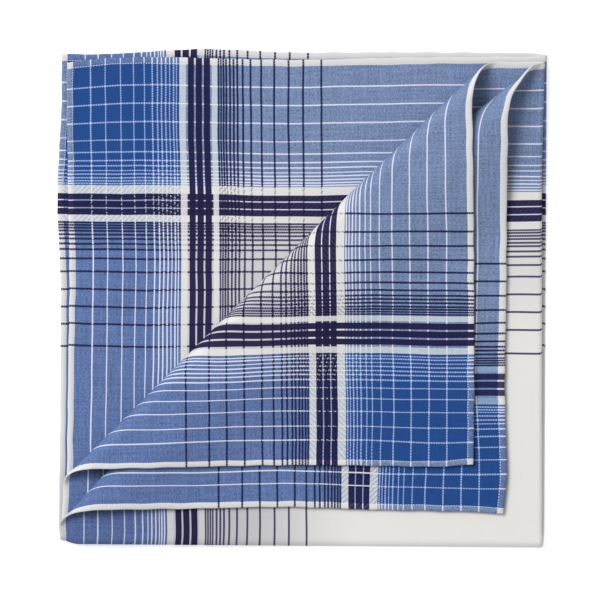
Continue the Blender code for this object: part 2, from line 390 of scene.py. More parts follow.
@dataclass(frozen=True)
class FoldedSquare:
    """The open cloth's sizes and the way it is folded, in millimetres."""

    width: float = 427.3
    length: float = 430.5
    right_fold_at: float = 215.0
    bottom_fold_at: float = 216.5
    right_fold_radius: float = 1.2
    middle_level: float = 1.5
    meeting_reach: float = 9.0

    under: Quarter = Quarter((-106.7, 107.4), (107.4, 107.7), (-107.0, -108.4), (106.3, -110.0))
    inner: Quarter = Quarter((-103.9, 106.0), (107.4, 106.0), (-103.4, -108.4), (106.3, -110.0))
    inner_turned: Quarter = Quarter((-104.9, 105.0), (105.1, 104.0), (-104.9, -108.4), (105.3, -110.0))
    outer_turned: Quarter = Quarter((-107.5, 103.7), (105.1, 103.8), (-106.6, -108.4), (105.3, -110.0))

    # The upper left corner of the inner quarter sags where its two hems meet
    sag: float = 2.2
    sag_reach_x: float = 30.0
    sag_reach_y: float = 62.0

    # The hems wander a little, and bulge where the dark bands end in them
    hem_wander: float = 0.3
    hem_wander_length: float = 31.0
    hem_wander_depth: float = 30.0
    bulge_at: float = 62.0
    bulge_reach: float = 48.0
    under_bulge: float = 2.0
    inner_bulge: float = 0.7

    # The stack leans out at the left end of the bottom fold, whose corner is rounded
    lower_flare: float = 1.0
    upper_flare: float = 1.7
    foot_flare_reach: float = 75.0
    corner_reach: float = 8.5
    corner_in: float = 0.4
    corner_lift: float = 1.9

    # The two turned quarters lean out at the upper end of the fold on the right
    top_flare: float = 1.2
    top_flare_reach: float = 55.0

    # Small unevenness that only the visible sheet has: the stitched hems pucker, the lowest
    # quarter bows out at the top, and the turned corners curl
    pucker: float = 0.08
    pucker_lengths: tuple[float, float] = (2.3, 3.1)
    pucker_depth: float = 9.0
    top_bow: float = 1.0
    top_bow_at: float = 105.0
    top_bow_reach: float = 100.0
    curl_reach: float = 16.0
    outer_curl: Point = (1.2, 0.0)
    inner_curl: Point = (-0.8, -1.9)

    # The quarter whose corner ends on top is dragged to the left by its roll: how far, the sum of
    # the distances to its two hems where this is strongest, how soon it fades on either side, and
    # the distances from the left hem between which it sets in
    drag: float = 1.05
    drag_at: float = 158.0
    drag_reach: float = 42.0
    drag_rise: tuple[float, float] = (-8.0, 18.0)

    def fold_in_four(self, u: float, v: float) -> Point:
        """Fold a point of the flat cloth in half to the left and then in half upwards.

        Args:
            u: place across the flat cloth, from its first corner.
            v: place down the flat cloth, from its first corner.

        Returns:
            x and y as seen from above, and the level in layers above the lowest one.
        """
        across = u - self.right_fold_at
        half_width = self.right_fold_at if across < 0.0 else self.width - self.right_fold_at
        angle = min(max(across / self.right_fold_radius, -QUARTER_TURN), QUARTER_TURN)
        past = max(abs(across) - self.right_fold_radius * QUARTER_TURN, 0.0)
        reach = self.right_fold_radius * (1.0 - math.cos(angle)) + past
        from_fold = reach / (half_width - self.right_fold_radius * (QUARTER_TURN - 1.0))
        level = (1.0 + math.sin(angle)) / 2.0

        along = v - self.bottom_fold_at
        half_length = self.bottom_fold_at if along < 0.0 else self.length - self.bottom_fold_at
        radius = (self.middle_level - level) * LAYERS.pitch
        angle = min(max(along / radius, -QUARTER_TURN), QUARTER_TURN)
        past = max(abs(along) - radius * QUARTER_TURN, 0.0)
        outer_radius = self.middle_level * LAYERS.pitch
        reach = outer_radius - radius * math.cos(angle) + past
        from_foot = reach / (outer_radius + half_length - radius * QUARTER_TURN)
        level = self.middle_level + (self.middle_level - level) * math.sin(angle)

        side = smooth(-self.meeting_reach, self.meeting_reach, across)
        stack = smooth(-self.meeting_reach, self.meeting_reach, along)
        lower = self.under.mixed_with(self.inner, side)
        upper = self.outer_turned.mixed_with(self.inner_turned, side)
        x, y = lower.mixed_with(upper, stack).place(from_fold, from_foot)
        to_hem = (1.0 - from_fold) * half_width
        to_top = (1.0 - from_foot) * half_length
        to_foot = from_foot * half_length
        step = self.unevenness(u, v, side, stack, to_hem, to_top, to_foot)
        return x + step[0], y + step[1], level

    def unevenness(self, u: float, v: float, side: float, stack: float, to_hem: float,
                   to_top: float, to_foot: float) -> Point:
        """Find how far the cloth lies from its quarter's straight outline.

        Args:
            u: place across the flat cloth.
            v: place down the flat cloth.
            side: 0 left of the first fold and 1 right of it.
            stack: 0 in the lower two quarters and 1 in the upper two.
            to_hem: distance to the hem on the left.
            to_top: distance to the hem at the top.
            to_foot: distance to the fold at the foot.

        Returns:
            The step across and the step up.
        """
        near_hem = near(to_hem, self.hem_wander_depth)
        near_top = near(to_top, self.hem_wander_depth)
        x = self.hem_wander * math.sin(v / self.hem_wander_length) * near_hem
        y = self.hem_wander * math.cos(u / self.hem_wander_length) * near_top

        left_bulge = (self.under_bulge + (self.inner_bulge - self.under_bulge) * side) * (1.0 - stack)
        top_bulge = self.under_bulge * (1.0 - side) * (1.0 - stack)
        x -= left_bulge * near(to_top - self.bulge_at, self.bulge_reach) * near_hem
        y += top_bulge * near(to_hem - self.bulge_at, self.bulge_reach) * near_top
        sag = max(1.0 - to_hem / self.sag_reach_x, 0.0) ** 2 * near(to_top, self.sag_reach_y)
        y -= self.sag * sag * side * (1.0 - stack)

        foot_flare = self.lower_flare + (self.upper_flare - self.lower_flare) * stack
        x -= foot_flare * near(to_foot, self.foot_flare_reach) * near_hem
        x += self.top_flare * near(to_top, self.top_flare_reach) * (1.0 - near_hem) * stack
        corner = near(to_hem, self.corner_reach) * near(to_foot, self.corner_reach)
        x += self.corner_in * corner
        y += self.corner_lift * corner

        first, second = self.pucker_lengths
        x += self.pucker * (math.sin(v / first) + math.sin(v / second)) * near(to_hem, self.pucker_depth)
        y += self.pucker * (math.sin(u / first) + math.sin(u / second)) * near(to_top, self.pucker_depth)
        bow = near(to_hem - self.top_bow_at, self.top_bow_reach) * near_top
        y += self.top_bow * bow * (1.0 - side) * (1.0 - stack)
        curl = near(to_hem, self.curl_reach) * near(to_top, self.curl_reach) * stack
        step = between(self.inner_curl, self.outer_curl, side)
        dragged = near(to_hem + to_top - self.drag_at, self.drag_reach) * smooth(*self.drag_rise, to_hem)
        x += step[0] * curl - self.drag * dragged * side * stack
        y += step[1] * curl
        for pull in PULLS:
            share = pull.share(side, stack, to_hem, to_top)
            x += pull.step[0] * share
            y += pull.step[1] * share
        return x, y

    def fold_point(self, u: float, v: float) -> Point:
        """Find the place of a point of the flat cloth once the handkerchief is folded.

        Args:
            u: place across the flat cloth.
            v: place down the flat cloth.

        Returns:
            x, y and z of the middle of the cloth.
        """
        x, y, level = self.fold_in_four(u, v)
        by_fold = abs(u - self.right_fold_at) < self.right_fold_radius * 2.0
        if v <= self.bottom_fold_at + self.meeting_reach or by_fold:
            return x, y, LAYERS.height(level, x, y)
        roll = INNER_ROLL if u < self.right_fold_at else OUTER_ROLL
        return roll.turn(x, y)


class Yarn(Enum):
    """The dyed yarns, as sRGB hex colours of the finished cloth."""

    WHITE = "#DCDBD8"
    BLUE = "#244783"
    NAVY = "#221E3E"
    SEWING = "#D9DFEE"


class Chambray(Enum):
    """Plain ground where white yarns cross blue ones, as sRGB hex colours."""

    WHITE_WARP = "#7081A3"
    BLUE_WARP = "#5A6F9C"


class Structure(Enum):
    """How a stripe is woven: its place between 0 and 1 in the stripe ramps."""

    PLAIN = 0.0
    CORDED = 0.5
    FACED = 1.0


@dataclass(frozen=True)
class Stripe:
    """One stripe of yarns, from its start to the start of the next one.

    phase is 0 or 1, and says which crossing threads a corded line passes under.
    """

    start: float
    yarn: Yarn
    structure: Structure
    phase: int = 0

    def code(self) -> Point:
        """Write the stripe as a ramp colour: white, navy, structure and phase."""
        return (float(self.yarn is Yarn.WHITE), float(self.yarn is Yarn.NAVY), self.structure.value,
                float(self.phase))


@dataclass(frozen=True)
class YarnOrder:
    """Order of the yarns from one edge of the cloth to its plain centre, in millimetres.

    white_lines and dark_lines are distances of the thin lines from the edge. band is the dark
    band, one row for each stripe: its width, its yarn and its structure.
    """

    selvedge: float
    white_lines: tuple[float, ...]
    band_start: float
    band: tuple[tuple[float, Yarn, Structure], ...]
    dark_lines: tuple[float, ...]
    white_width: float = 0.55
    dark_width: float = 0.9
    crowded_share: float = 0.72

    def stripes(self) -> list[Stripe]:
        """Lay out every stripe from the edge inwards.

        Returns:
            The stripes, in order, each one reaching to the start of the next.
        """
        found = [Stripe(0.0, Yarn.WHITE, Structure.PLAIN),
                 Stripe(self.selvedge, Yarn.BLUE, Structure.PLAIN)]
        found += self.thin_lines(self.white_lines, self.white_width, Yarn.WHITE, Yarn.BLUE)
        place = self.band_start
        for width, yarn, structure in self.band:
            found.append(Stripe(place, yarn, structure))
            place += width
        found.append(Stripe(place, Yarn.WHITE, Structure.PLAIN))
        return found + self.thin_lines(self.dark_lines, self.dark_width, Yarn.NAVY, Yarn.WHITE)

    def thin_lines(self, lines: Sequence[float], widest: float, yarn: Yarn, ground: Yarn) -> list[Stripe]:
        """Lay out thin lines, which are narrower where they crowd together.

        Args:
            lines: distances of the lines from the edge.
            widest: width of a line that stands alone.
            yarn: yarn of the lines.
            ground: yarn that follows each line.

        Returns:
            Two stripes for each line, in order.
        """
        found = []
        for number, middle in enumerate(lines):
            neighbours = lines[max(number - 1, 0):number] + lines[number + 1:number + 2]
            gap = min(abs(other - middle) for other in neighbours)
            width = min(widest, gap * self.crowded_share)
            found.append(Stripe(middle - width / 2.0, yarn, Structure.CORDED, number % 2))
            found.append(Stripe(middle + width / 2.0, ground, Structure.PLAIN))
        return found

    @staticmethod
    def across_cloth(first: "YarnOrder", last: "YarnOrder", size: float) -> list[Stripe]:
        """Lay out the stripes from one edge of the cloth to the opposite one.

        Args:
            first: order of the yarns from the first edge.
            last: order of the yarns from the opposite edge.
            size: distance between the edges.

        Returns:
            The stripes, in order.
        """
        found = first.stripes()
        inwards = last.stripes()
        for number in range(len(inwards) - 2, -1, -1):
            stripe, further = inwards[number], inwards[number + 1]
            found.append(Stripe(size - further.start, stripe.yarn, stripe.structure, stripe.phase))
        return found


# Width, yarn and structure of each stripe of the dark band, from the edge inwards
WARP_BAND = (
    (2.85, Yarn.WHITE, Structure.FACED),
    (0.9, Yarn.WHITE, Structure.PLAIN),
    (2.7, Yarn.NAVY, Structure.FACED),
    (0.75, Yarn.WHITE, Structure.PLAIN),
    (2.85, Yarn.NAVY, Structure.FACED),
    (0.75, Yarn.WHITE, Structure.PLAIN),
    (2.85, Yarn.NAVY, Structure.FACED),
    (0.75, Yarn.WHITE, Structure.PLAIN),
    (2.4, Yarn.WHITE, Structure.FACED),
)
WEFT_BAND = (
    (3.6, Yarn.WHITE, Structure.FACED),
    (2.7, Yarn.NAVY, Structure.FACED),
    (0.45, Yarn.WHITE, Structure.CORDED),
    (3.0, Yarn.NAVY, Structure.FACED),
    (0.45, Yarn.WHITE, Structure.CORDED),
    (2.85, Yarn.NAVY, Structure.FACED),
    (3.0, Yarn.WHITE, Structure.FACED),
)
WARP_FROM_LEFT = YarnOrder(
    selvedge=2.5,
    white_lines=(10.4, 16.2, 22.1, 27.4, 32.1, 35.4, 37.7, 39.4, 41.2, 42.8, 43.95, 45.1),
    band_start=46.3,
    band=WARP_BAND,
    dark_lines=(63.7, 64.7, 65.8, 66.8, 68.5, 70.2, 71.9, 74.2, 77.7, 82.3, 88.1, 94.5, 100.9, 108.9),
)
WARP_FROM_RIGHT = YarnOrder(
    selvedge=2.5,
    white_lines=(10.3, 16.7, 23.3, 29.0, 33.8, 37.3, 39.6, 41.4, 43.2, 45.0, 46.7, 48.0),
    band_start=49.2,
    band=WARP_BAND,
    dark_lines=(66.7, 67.8, 68.9, 70.1, 71.7, 73.4, 75.1, 77.4, 80.9, 85.5, 91.3, 97.6, 104.0, 112.1),
)
WEFT_FROM_TOP = YarnOrder(
    selvedge=2.8,
    white_lines=(12.3, 20.4, 28.5, 36.5, 42.0, 45.9, 48.3, 50.5, 52.1, 53.7, 55.1, 56.3),
    band_start=57.1,
    band=WEFT_BAND,
    dark_lines=(73.7, 74.9, 76.1, 77.4, 79.1, 80.8, 83.1, 85.5, 89.6, 95.2, 103.0, 110.7, 118.3, 128.1),
)
WEFT_FROM_FOOT = YarnOrder(
    selvedge=2.8,
    white_lines=(12.1, 20.0, 27.8, 35.6, 41.2, 45.1, 47.5, 50.0, 51.7, 53.3, 54.7, 56.0),
    band_start=56.7,
    band=WEFT_BAND,
    dark_lines=(73.5, 74.6, 76.0, 77.3, 78.9, 80.5, 82.7, 85.0, 88.7, 93.8, 101.6, 109.5, 117.2, 127.6),
)


@dataclass(frozen=True)
class HemRoll:
    """Cross-section of the rolled hem and of the cloth inside it, in millimetres."""

    side_width: float = 2.5
    end_width: float = 2.8
    height: float = 0.95
    cloth_thickness: float = 0.4
    roundness: float = 2.6
    profile: tuple[float, ...] = (0.0, 0.05, 0.2, 0.42, 0.66, 0.86, 1.0, 1.12)

    def half_thickness(self, to_side: float, to_end: float) -> float:
        """Find half of the thickness at a place.

        Args:
            to_side: distance to the nearer side edge.
            to_end: distance to the nearer top or bottom edge.

        Returns:
            Half of the cloth's or the hem's thickness.
        """
        if min(to_side, to_end) <= 0.0:
            return 0.0
        flat = thickest = self.cloth_thickness / 2.0
        for distance, width in ((to_side, self.side_width), (to_end, self.end_width)):
            share = distance / width
            round_part = max(1.0 - abs(2.0 * share - 1.0) ** self.roundness, 0.0)
            bulge = math.sqrt(round_part) * self.height / 2.0
            if share <= 0.5:
                thickest = bulge
            elif share < 1.0:
                thickest = max(thickest, bulge, flat)
        return thickest


@dataclass(frozen=True)
class Threads:
    """What the warp or the weft is at a place: 0 or 1 each, but for the colour."""

    colour: Link
    white: Link
    navy: Link
    corded: Link
    faced: Link
    phase: Link


@dataclass(frozen=True)
class Place:
    """Where on the flat cloth a point lies: in millimetres, or 0 or 1 for back."""

    across: Link
    down: Link
    from_side: Link
    from_end: Link
    back: Link


@dataclass(frozen=True)
class WovenCotton:
    """Yarn-dyed cotton in a plain weave, with satin stripes one way and faced stripes the other.

    See-through shares say how much of the lower yarn's colour shows through the upper one,
    because the threads are fine and round. The threads themselves are 0.2 mm apart, too fine to
    show, so dots and streaks are drawn coarser.
    """

    name: str = "cotton_plain_woven_yarn_dyed"
    roughness: float = 0.95
    specular: float = 0.06

    # The stripe ramps: millimetres in a step, the most stops and steps that one ramp holds, and
    # how far the code of a structure may be off
    ramp_step: float = 0.15
    most_stops: int = 30
    most_steps: int = 255
    code_tolerance: float = 0.1

    # Dots of the thin lines: millimetres from dot to dot, and the share that lies on top
    dot_pitch: float = 1.1
    white_dot_share: float = 0.66
    dark_dot_share: float = 0.58

    # Slanting dots of the faced stripes: their pitch in millimetres, and the shares that show
    twill_pitch: float = 1.15
    twill_share: float = 0.42
    twill_break_share: float = 0.6

    line_see_through: float = 0.03
    white_line_see_through: float = 0.18
    gap_see_through: float = 0.38
    satin_see_through: float = 0.105
    satin_navy_see_through: float = 0.05
    satin_back_see_through: float = 0.3
    faced_see_through: float = 0.03
    faced_dot_see_through: float = 0.3
    faced_navy_see_through: float = 0.32
    faced_back_see_through: float = 0.5
    back_reach: float = 120.0

    # White yarns that run alone between blue ones look bluish
    line_tint: tuple[float, ...] = (0.87, 0.91, 1.14, 1.0)

    # Painted shade: white ground is painted greyer by the dark band, standing in for the layers below
    # that show through the thin cloth: the share of its brightness there, and the distances from the
    # edge between which it clears
    side_grey: float = 0.77
    side_grey_reach: tuple[float, float] = (62.0, 120.0)
    end_grey: float = 0.86
    end_grey_reach: tuple[float, float] = (72.0, 130.0)

    # Painted shade above the fold at the foot, where the cloth lies in shade: the distances down from
    # the top edge between which it sets in, those from the left edge between which it clears, and how
    # far past the fold it ends
    foot_grey: float = 0.8
    foot_grey_reach: tuple[float, float] = (165.0, 200.0)
    foot_grey_side: tuple[float, float] = (90.0, 135.0)
    foot_grey_past: float = 20.0

    # The same painted shade in the rolled hem, whose roundness looks darker, and on white faced
    # stripes, and the power of it that blue light gets, which fades less than the rest
    hem_painted_shade: float = 0.86
    faced_painted_shade: float = 0.92
    blue_power: float = 0.8

    # Uneven threads, as shares of the brightness, and width and length of the short streaks and
    # of the long ones, in millimetres
    blue_unevenness: float = 0.45
    white_unevenness: float = 0.06
    chambray_unevenness: float = 1.3
    streak: tuple[float, float] = (0.5, 1.1)
    slub_unevenness: float = 0.35
    slub: tuple[float, float] = (1.1, 22.0)
    streak_detail: float = 2.0
    streak_roughness: float = 0.6

    # Threads wander sideways, in millimetres
    wander: float = 0.7
    wander_length: float = 26.0

    # The turned quarter is pulled on the slant, so that its lines lean towards the hem: how far,
    # and the distances between which this grows and fades, in millimetres. The first two count
    # from the foot edge, the third from the fold on the right and the last from the hem
    lean: float = 1.9
    lean_rise: tuple[float, float] = (3.0, 57.0)
    lean_fall: tuple[float, float] = (80.0, 230.0)
    lean_start: tuple[float, float] = (20.0, 60.0)
    lean_fade: tuple[float, float] = (2.6, 10.0)

    # Dots of the sewing thread along the inner edge of the hem, in millimetres
    stitch_pitch: float = 1.15
    stitch_length: float = 0.65
    stitch_width: float = 0.35
    stitch_share: float = 0.75

    # Mottled colour of the rolled hem, as a share of the brightness, and its size in millimetres
    hem_mottle: float = 1.1
    hem_mottle_size: float = 0.9

    # Soft crumples: their depth in metres, and their size in millimetres
    crumple: float = 0.0002
    crumple_size: float = 11.0

    def groups(self, stripes: Sequence[Stripe]) -> list[list[Stripe]]:
        """Share out the stripes over ramps, by how many stops and steps a ramp can hold.

        Args:
            stripes: the stripes, in order.

        Returns:
            The stripes of each ramp.
        """
        reach = self.ramp_step * (self.most_steps - 1)
        found: list[list[Stripe]] = []
        for stripe in stripes:
            if found and len(found[-1]) < self.most_stops and stripe.start - found[-1][0].start < reach:
                found[-1].append(stripe)
            else:
                found.append([stripe])
        return found

    def read(self, tree: bpy.types.NodeTree, place: Link, stripes: Sequence[Stripe]) -> Threads:
        """Read which stripe lies at a place.

        A ramp is stored in 256 steps, so it is read halfway between two of them, and each stripe
        begins half a step early.

        Args:
            tree: node tree that gets the nodes.
            place: distance from the first edge, in millimetres.
            stripes: the stripes from that edge to the opposite one.

        Returns:
            What the threads are there.
        """
        code, phase = None, None
        for group in self.groups(stripes):
            first = group[0].start
            past = add_node(tree, "SUBTRACT", place, first)
            steps = add_node(tree, "DIVIDE", past, self.ramp_step)
            whole = add_node(tree, "FLOOR", steps)
            halfway = add_node(tree, "ADD", whole, 0.5)
            share = add_node(tree, "DIVIDE", halfway, float(self.most_steps))
            ramp = add_node(tree, "ValToRGB", share)
            ramp.color_ramp.interpolation = "CONSTANT"
            elements = ramp.color_ramp.elements
            elements[1].position = 1.0
            elements[1].color = group[-1].code()
            elements[0].position = 0.0
            elements[0].color = group[0].code()
            for stripe in group[1:]:
                step = round((stripe.start - first) / self.ramp_step)
                elements.new((step - 0.5) / self.most_steps).color = stripe.code()
            if code is None:
                code = ramp
                phase = ramp.outputs["Alpha"]
            else:
                beyond = add_node(tree, "GREATER_THAN", place, first)
                code = add_node(tree, "Mix", beyond, code, ramp, data_type="RGBA")
                phase = add_node(tree, "Mix", beyond, phase, ramp.outputs["Alpha"])
        white, navy, kind = add_node(tree, "SeparateColor", code).outputs
        colour = linear_colour(Yarn.BLUE.value)
        for share, yarn in ((white, Yarn.WHITE), (navy, Yarn.NAVY)):
            colour = add_node(tree, "Mix", share, colour, linear_colour(yarn.value), data_type="RGBA")
        corded, faced = (add_node(tree, "COMPARE", kind, structure.value, self.code_tolerance)
                         for structure in (Structure.CORDED, Structure.FACED))
        return Threads(colour, white, navy, corded, faced, phase)

    def dots(self, tree: bpy.types.NodeTree, along: Link, thread: Threads) -> Link:
        """Break a line into dots, each as long as the line lies on top.

        Args:
            tree: node tree that gets the nodes.
            along: place along the line, in millimetres.
            thread: the line's own threads.

        Returns:
            1 where the line lies on top.
        """
        pitches = add_node(tree, "DIVIDE", along, self.dot_pitch)
        moved = add_node(tree, "MULTIPLY_ADD", thread.phase, 0.5, pitches)
        part = add_node(tree, "FRACT", moved)
        share = add_node(tree, "Mix", thread.navy, self.white_dot_share, self.dark_dot_share)
        return add_node(tree, "LESS_THAN", part, share)

    def find_place(self, tree: bpy.types.NodeTree, flat: Link, cloth: FoldedSquare) -> Place:
        """Find the place on the flat cloth, with the threads' wander and lean.

        Args:
            tree: node tree that gets the nodes.
            flat: place on the flat cloth, in millimetres.
            cloth: the open cloth's sizes.

        Returns:
            The place's distances.
        """
        noise = add_node(tree, "TexNoise", flat, 1.0 / self.wander_length, 1.0, noise_dimensions="2D")
        shift = add_node(tree, "SeparateColor", noise.outputs["Color"])
        parts = add_node(tree, "SeparateXYZ", flat)
        moved = []
        for axis in (0, 1):
            step = add_node(tree, "MULTIPLY_ADD", shift.outputs[axis], self.wander, -self.wander / 2.0)
            moved.append(add_node(tree, "ADD", parts.outputs[axis], step))
        across, down = moved

        to_foot = add_node(tree, "SUBTRACT", cloth.length, down)
        fold, width = cloth.right_fold_at, cloth.width
        lean = self.lean
        for value, low, high, start, end in (
                (to_foot, *self.lean_rise, 0.0, 1.0),
                (to_foot, *self.lean_fall, 1.0, 0.0),
                (across, fold + self.lean_start[0], fold + self.lean_start[1], 0.0, 1.0),
                (across, width - self.lean_fade[1], width - self.lean_fade[0], 1.0, 0.0)):
            share = add_node(tree, "MapRange", value, low, high, start, end,
                             interpolation_type="SMOOTHSTEP")
            lean = add_node(tree, "MULTIPLY", lean, share)
        across = add_node(tree, "ADD", lean, across)

        # The lower left quarter of the flat cloth is the one whose other face shows
        at_left = add_node(tree, "LESS_THAN", across, self.back_reach)
        at_foot = add_node(tree, "LESS_THAN", to_foot, self.back_reach)
        back = add_node(tree, "MULTIPLY", at_left, at_foot)
        to_right = add_node(tree, "SUBTRACT", width, across)
        from_side = add_node(tree, "MINIMUM", across, to_right)
        from_end = add_node(tree, "MINIMUM", down, to_foot)
        return Place(across, down, from_side, from_end, back)

    def streaks(self, tree: bpy.types.NodeTree, across: Link, along: Link,
                size: tuple[float, float]) -> Link:
        """Vary the brightness in streaks along the threads.

        Args:
            tree: node tree that gets the nodes.
            across: place across the threads, in millimetres.
            along: place along the threads, in millimetres.
            size: width and length of a streak.

        Returns:
            About -0.5 to 0.5.
        """
        x = add_node(tree, "DIVIDE", across, size[0])
        y = add_node(tree, "DIVIDE", along, size[1])
        noise = add_node(tree, "TexNoise", add_node(tree, "CombineXYZ", x, y), 1.0, self.streak_detail,
                         self.streak_roughness, noise_dimensions="2D")
        return add_node(tree, "SUBTRACT", noise, 0.5)

    def hem_marks(self, tree: bpy.types.NodeTree, place: Place, hem: HemRoll) -> tuple[Link, Link]:
        """Mark the rolled hem, and the sewing thread's dots along its inner edge.

        Args:
            tree: node tree that gets the nodes.
            place: where on the flat cloth the point lies.
            hem: the rolled hem's sizes.

        Returns:
            1 in the hem, and 1 on a dot.
        """
        inside, stitches = 0.0, 0.0
        for to_edge, width, along in ((place.from_side, hem.side_width, place.down),
                                      (place.from_end, hem.end_width, place.across)):
            here = add_node(tree, "LESS_THAN", to_edge, width)
            on_line = add_node(tree, "COMPARE", to_edge, width, self.stitch_width / 2.0)
            pitches = add_node(tree, "DIVIDE", along, self.stitch_pitch)
            part = add_node(tree, "FRACT", pitches)
            dot = add_node(tree, "LESS_THAN", part, self.stitch_length / self.stitch_pitch)
            dot = add_node(tree, "MULTIPLY", dot, on_line)
            inside = add_node(tree, "MAXIMUM", inside, here)
            stitches = add_node(tree, "MAXIMUM", stitches, dot)
        return inside, stitches

    def painted_shade(self, tree: bpy.types.NodeTree, place: Place, whites: tuple[Link, Link], in_hem: Link,
                 cloth: FoldedSquare) -> Link:
        """Paint shade into the cloth where the layers below show through, in the hem and by the foot fold.

        Args:
            tree: node tree that gets the nodes.
            place: where on the flat cloth the point lies.
            whites: 1 where white yarns cross white ones in plain ground, and 1 on faced white.
            in_hem: 1 in the rolled hem.
            cloth: the open cloth's sizes.

        Returns:
            The painted shade, a grey to multiply by.
        """
        side, end, by_foot, by_side = (
            add_node(tree, "MapRange", value, *reach, start, finish, interpolation_type="SMOOTHSTEP")
            for value, reach, start, finish in (
                (place.from_side, self.side_grey_reach, self.side_grey, 1.0),
                (place.from_end, self.end_grey_reach, self.end_grey, 1.0),
                (place.down, self.foot_grey_reach, 0.0, 1.0),
                (place.across, self.foot_grey_side, 1.0, 0.0)))
        # Painted shade on white ground by the dark band, in the hem and on white faced stripes
        clear = add_node(tree, "MULTIPLY", side, end)
        ground = add_node(tree, "Mix", in_hem, clear, self.hem_painted_shade)
        ground = add_node(tree, "Mix", whites[0], 1.0, ground)
        ground = add_node(tree, "Mix", whites[1], ground, self.faced_painted_shade)
        # Painted shade above the fold at the foot
        before_foot = add_node(tree, "LESS_THAN", place.down, cloth.bottom_fold_at + self.foot_grey_past)
        foot = add_node(tree, "MULTIPLY", by_foot, before_foot)
        foot = add_node(tree, "MULTIPLY", foot, by_side)
        foot = add_node(tree, "Mix", foot, 1.0, self.foot_grey)
        grey = add_node(tree, "MULTIPLY", ground, foot)
        blue = add_node(tree, "POWER", grey, self.blue_power)
        return add_node(tree, "CombineColor", grey, grey, blue)

    def ground(self, tree: bpy.types.NodeTree, warp: Threads, weft: Threads) -> Link:
        """Find the colour of plain ground.

        Args:
            tree: node tree that gets the nodes.
            warp: the warp there.
            weft: the weft there.

        Returns:
            The colour.
        """
        blue, blue_warp, white_warp, white = (linear_colour(yarn.value) for yarn in (
            Yarn.BLUE, Chambray.BLUE_WARP, Chambray.WHITE_WARP, Yarn.WHITE))
        over_blue = add_node(tree, "Mix", weft.white, blue, blue_warp, data_type="RGBA")
        over_white = add_node(tree, "Mix", weft.white, white_warp, white, data_type="RGBA")
        return add_node(tree, "Mix", warp.white, over_blue, over_white, data_type="RGBA")

    def see_through(self, tree: bpy.types.NodeTree, threads: tuple[Threads, Threads], on_dots: Link,
                    bands: tuple[Link, Link], place: Place) -> tuple[Link, Link]:
        """Find how much of the lower yarn shows in lines and bands.

        Args:
            tree: node tree that gets the nodes.
            threads: the warp and the weft there.
            on_dots: 1 on a line's own dots.
            bands: 1 on a slanting dot of a faced weft, and 1 where a thin line shows in it.
            place: where on the flat cloth the point lies.

        Returns:
            The lower yarn's share, and 1 where white lies by blue.
        """
        warp, weft = threads
        slanting, sparse = bands

        # A line's own dots are nearly solid, and the gaps between them still show a little of it
        white = add_node(tree, "MAXIMUM", warp.white, weft.white)
        navy = add_node(tree, "MAXIMUM", warp.navy, weft.navy)
        light = add_node(tree, "SUBTRACT", 1.0, navy)
        dyed = add_node(tree, "MULTIPLY", white, light)
        solid = add_node(tree, "Mix", dyed, self.line_see_through, self.white_line_see_through)
        share = add_node(tree, "Mix", on_dots, self.gap_see_through, solid)

        on_dot = add_node(tree, "Mix", weft.navy, self.faced_dot_see_through, self.faced_navy_see_through)
        on_dot = add_node(tree, "Mix", place.back, on_dot, self.faced_back_see_through)
        faced = add_node(tree, "Mix", slanting, self.faced_see_through, on_dot)
        faced = add_node(tree, "Mix", sparse, faced, self.line_see_through)
        share = add_node(tree, "Mix", weft.faced, share, faced)
        satin = add_node(tree, "Mix", weft.navy, self.satin_see_through, self.satin_navy_see_through)
        satin = add_node(tree, "Mix", place.back, satin, self.satin_back_see_through)
        return add_node(tree, "Mix", warp.faced, share, satin), dyed

    def lines(self, tree: bpy.types.NodeTree, warp: Threads, weft: Threads, place: Place) -> Link:
        """Find the colour that the upper and the lower yarn make together in lines and bands.

        Args:
            tree: node tree that gets the nodes.
            warp: the warp there.
            weft: the weft there.
            place: where on the flat cloth the point lies.

        Returns:
            The colour.
        """
        warp_dots = self.dots(tree, place.down, warp)
        weft_dots = self.dots(tree, place.across, weft)
        weft_gaps = add_node(tree, "SUBTRACT", 1.0, weft_dots)
        warp_over = add_node(tree, "Mix", warp.corded, weft_gaps, warp_dots)
        on_dots = add_node(tree, "Mix", warp.corded, weft_dots, warp_dots)

        # A faced weft hides the ground, and lets some crossings of a thin line show
        slanting = 1.0
        for operation, pitch, most in (("ADD", self.twill_pitch, self.twill_share),
                                       ("SUBTRACT", self.twill_pitch * 2.0, self.twill_break_share)):
            slant = add_node(tree, operation, place.across, place.down)
            pitches = add_node(tree, "DIVIDE", slant, pitch)
            part = add_node(tree, "FRACT", pitches)
            shown = add_node(tree, "LESS_THAN", part, most)
            slanting = add_node(tree, "MULTIPLY", slanting, shown)
        sparse = add_node(tree, "Mix", place.back, slanting, 1.0)
        sparse = add_node(tree, "MULTIPLY", warp.corded, sparse)
        warp_over = add_node(tree, "Mix", weft.faced, warp_over, sparse)
        warp_over = add_node(tree, "Mix", warp.faced, warp_over, 1.0)

        through, dyed = self.see_through(tree, (warp, weft), on_dots, (slanting, sparse), place)
        rest = add_node(tree, "SUBTRACT", 1.0, through)
        upper = add_node(tree, "Mix", warp_over, weft.colour, warp.colour, data_type="RGBA")
        lower = add_node(tree, "Mix", warp_over, warp.colour, weft.colour, data_type="RGBA")
        colour = add_node(tree, "Mix", 1.0, add_node(tree, "Gamma", upper, rest),
                          add_node(tree, "Gamma", lower, through), data_type="RGBA", blend_type="MULTIPLY")

        own_white = add_node(tree, "Mix", warp.corded, weft.white, warp.white)
        band = add_node(tree, "MAXIMUM", warp.faced, weft.faced)
        bare = add_node(tree, "SUBTRACT", 1.0, band)
        alone = add_node(tree, "MULTIPLY", own_white, dyed)
        alone = add_node(tree, "MULTIPLY", alone, bare)
        return add_node(tree, "Mix", alone, colour, self.line_tint, data_type="RGBA",
                        blend_type="MULTIPLY")

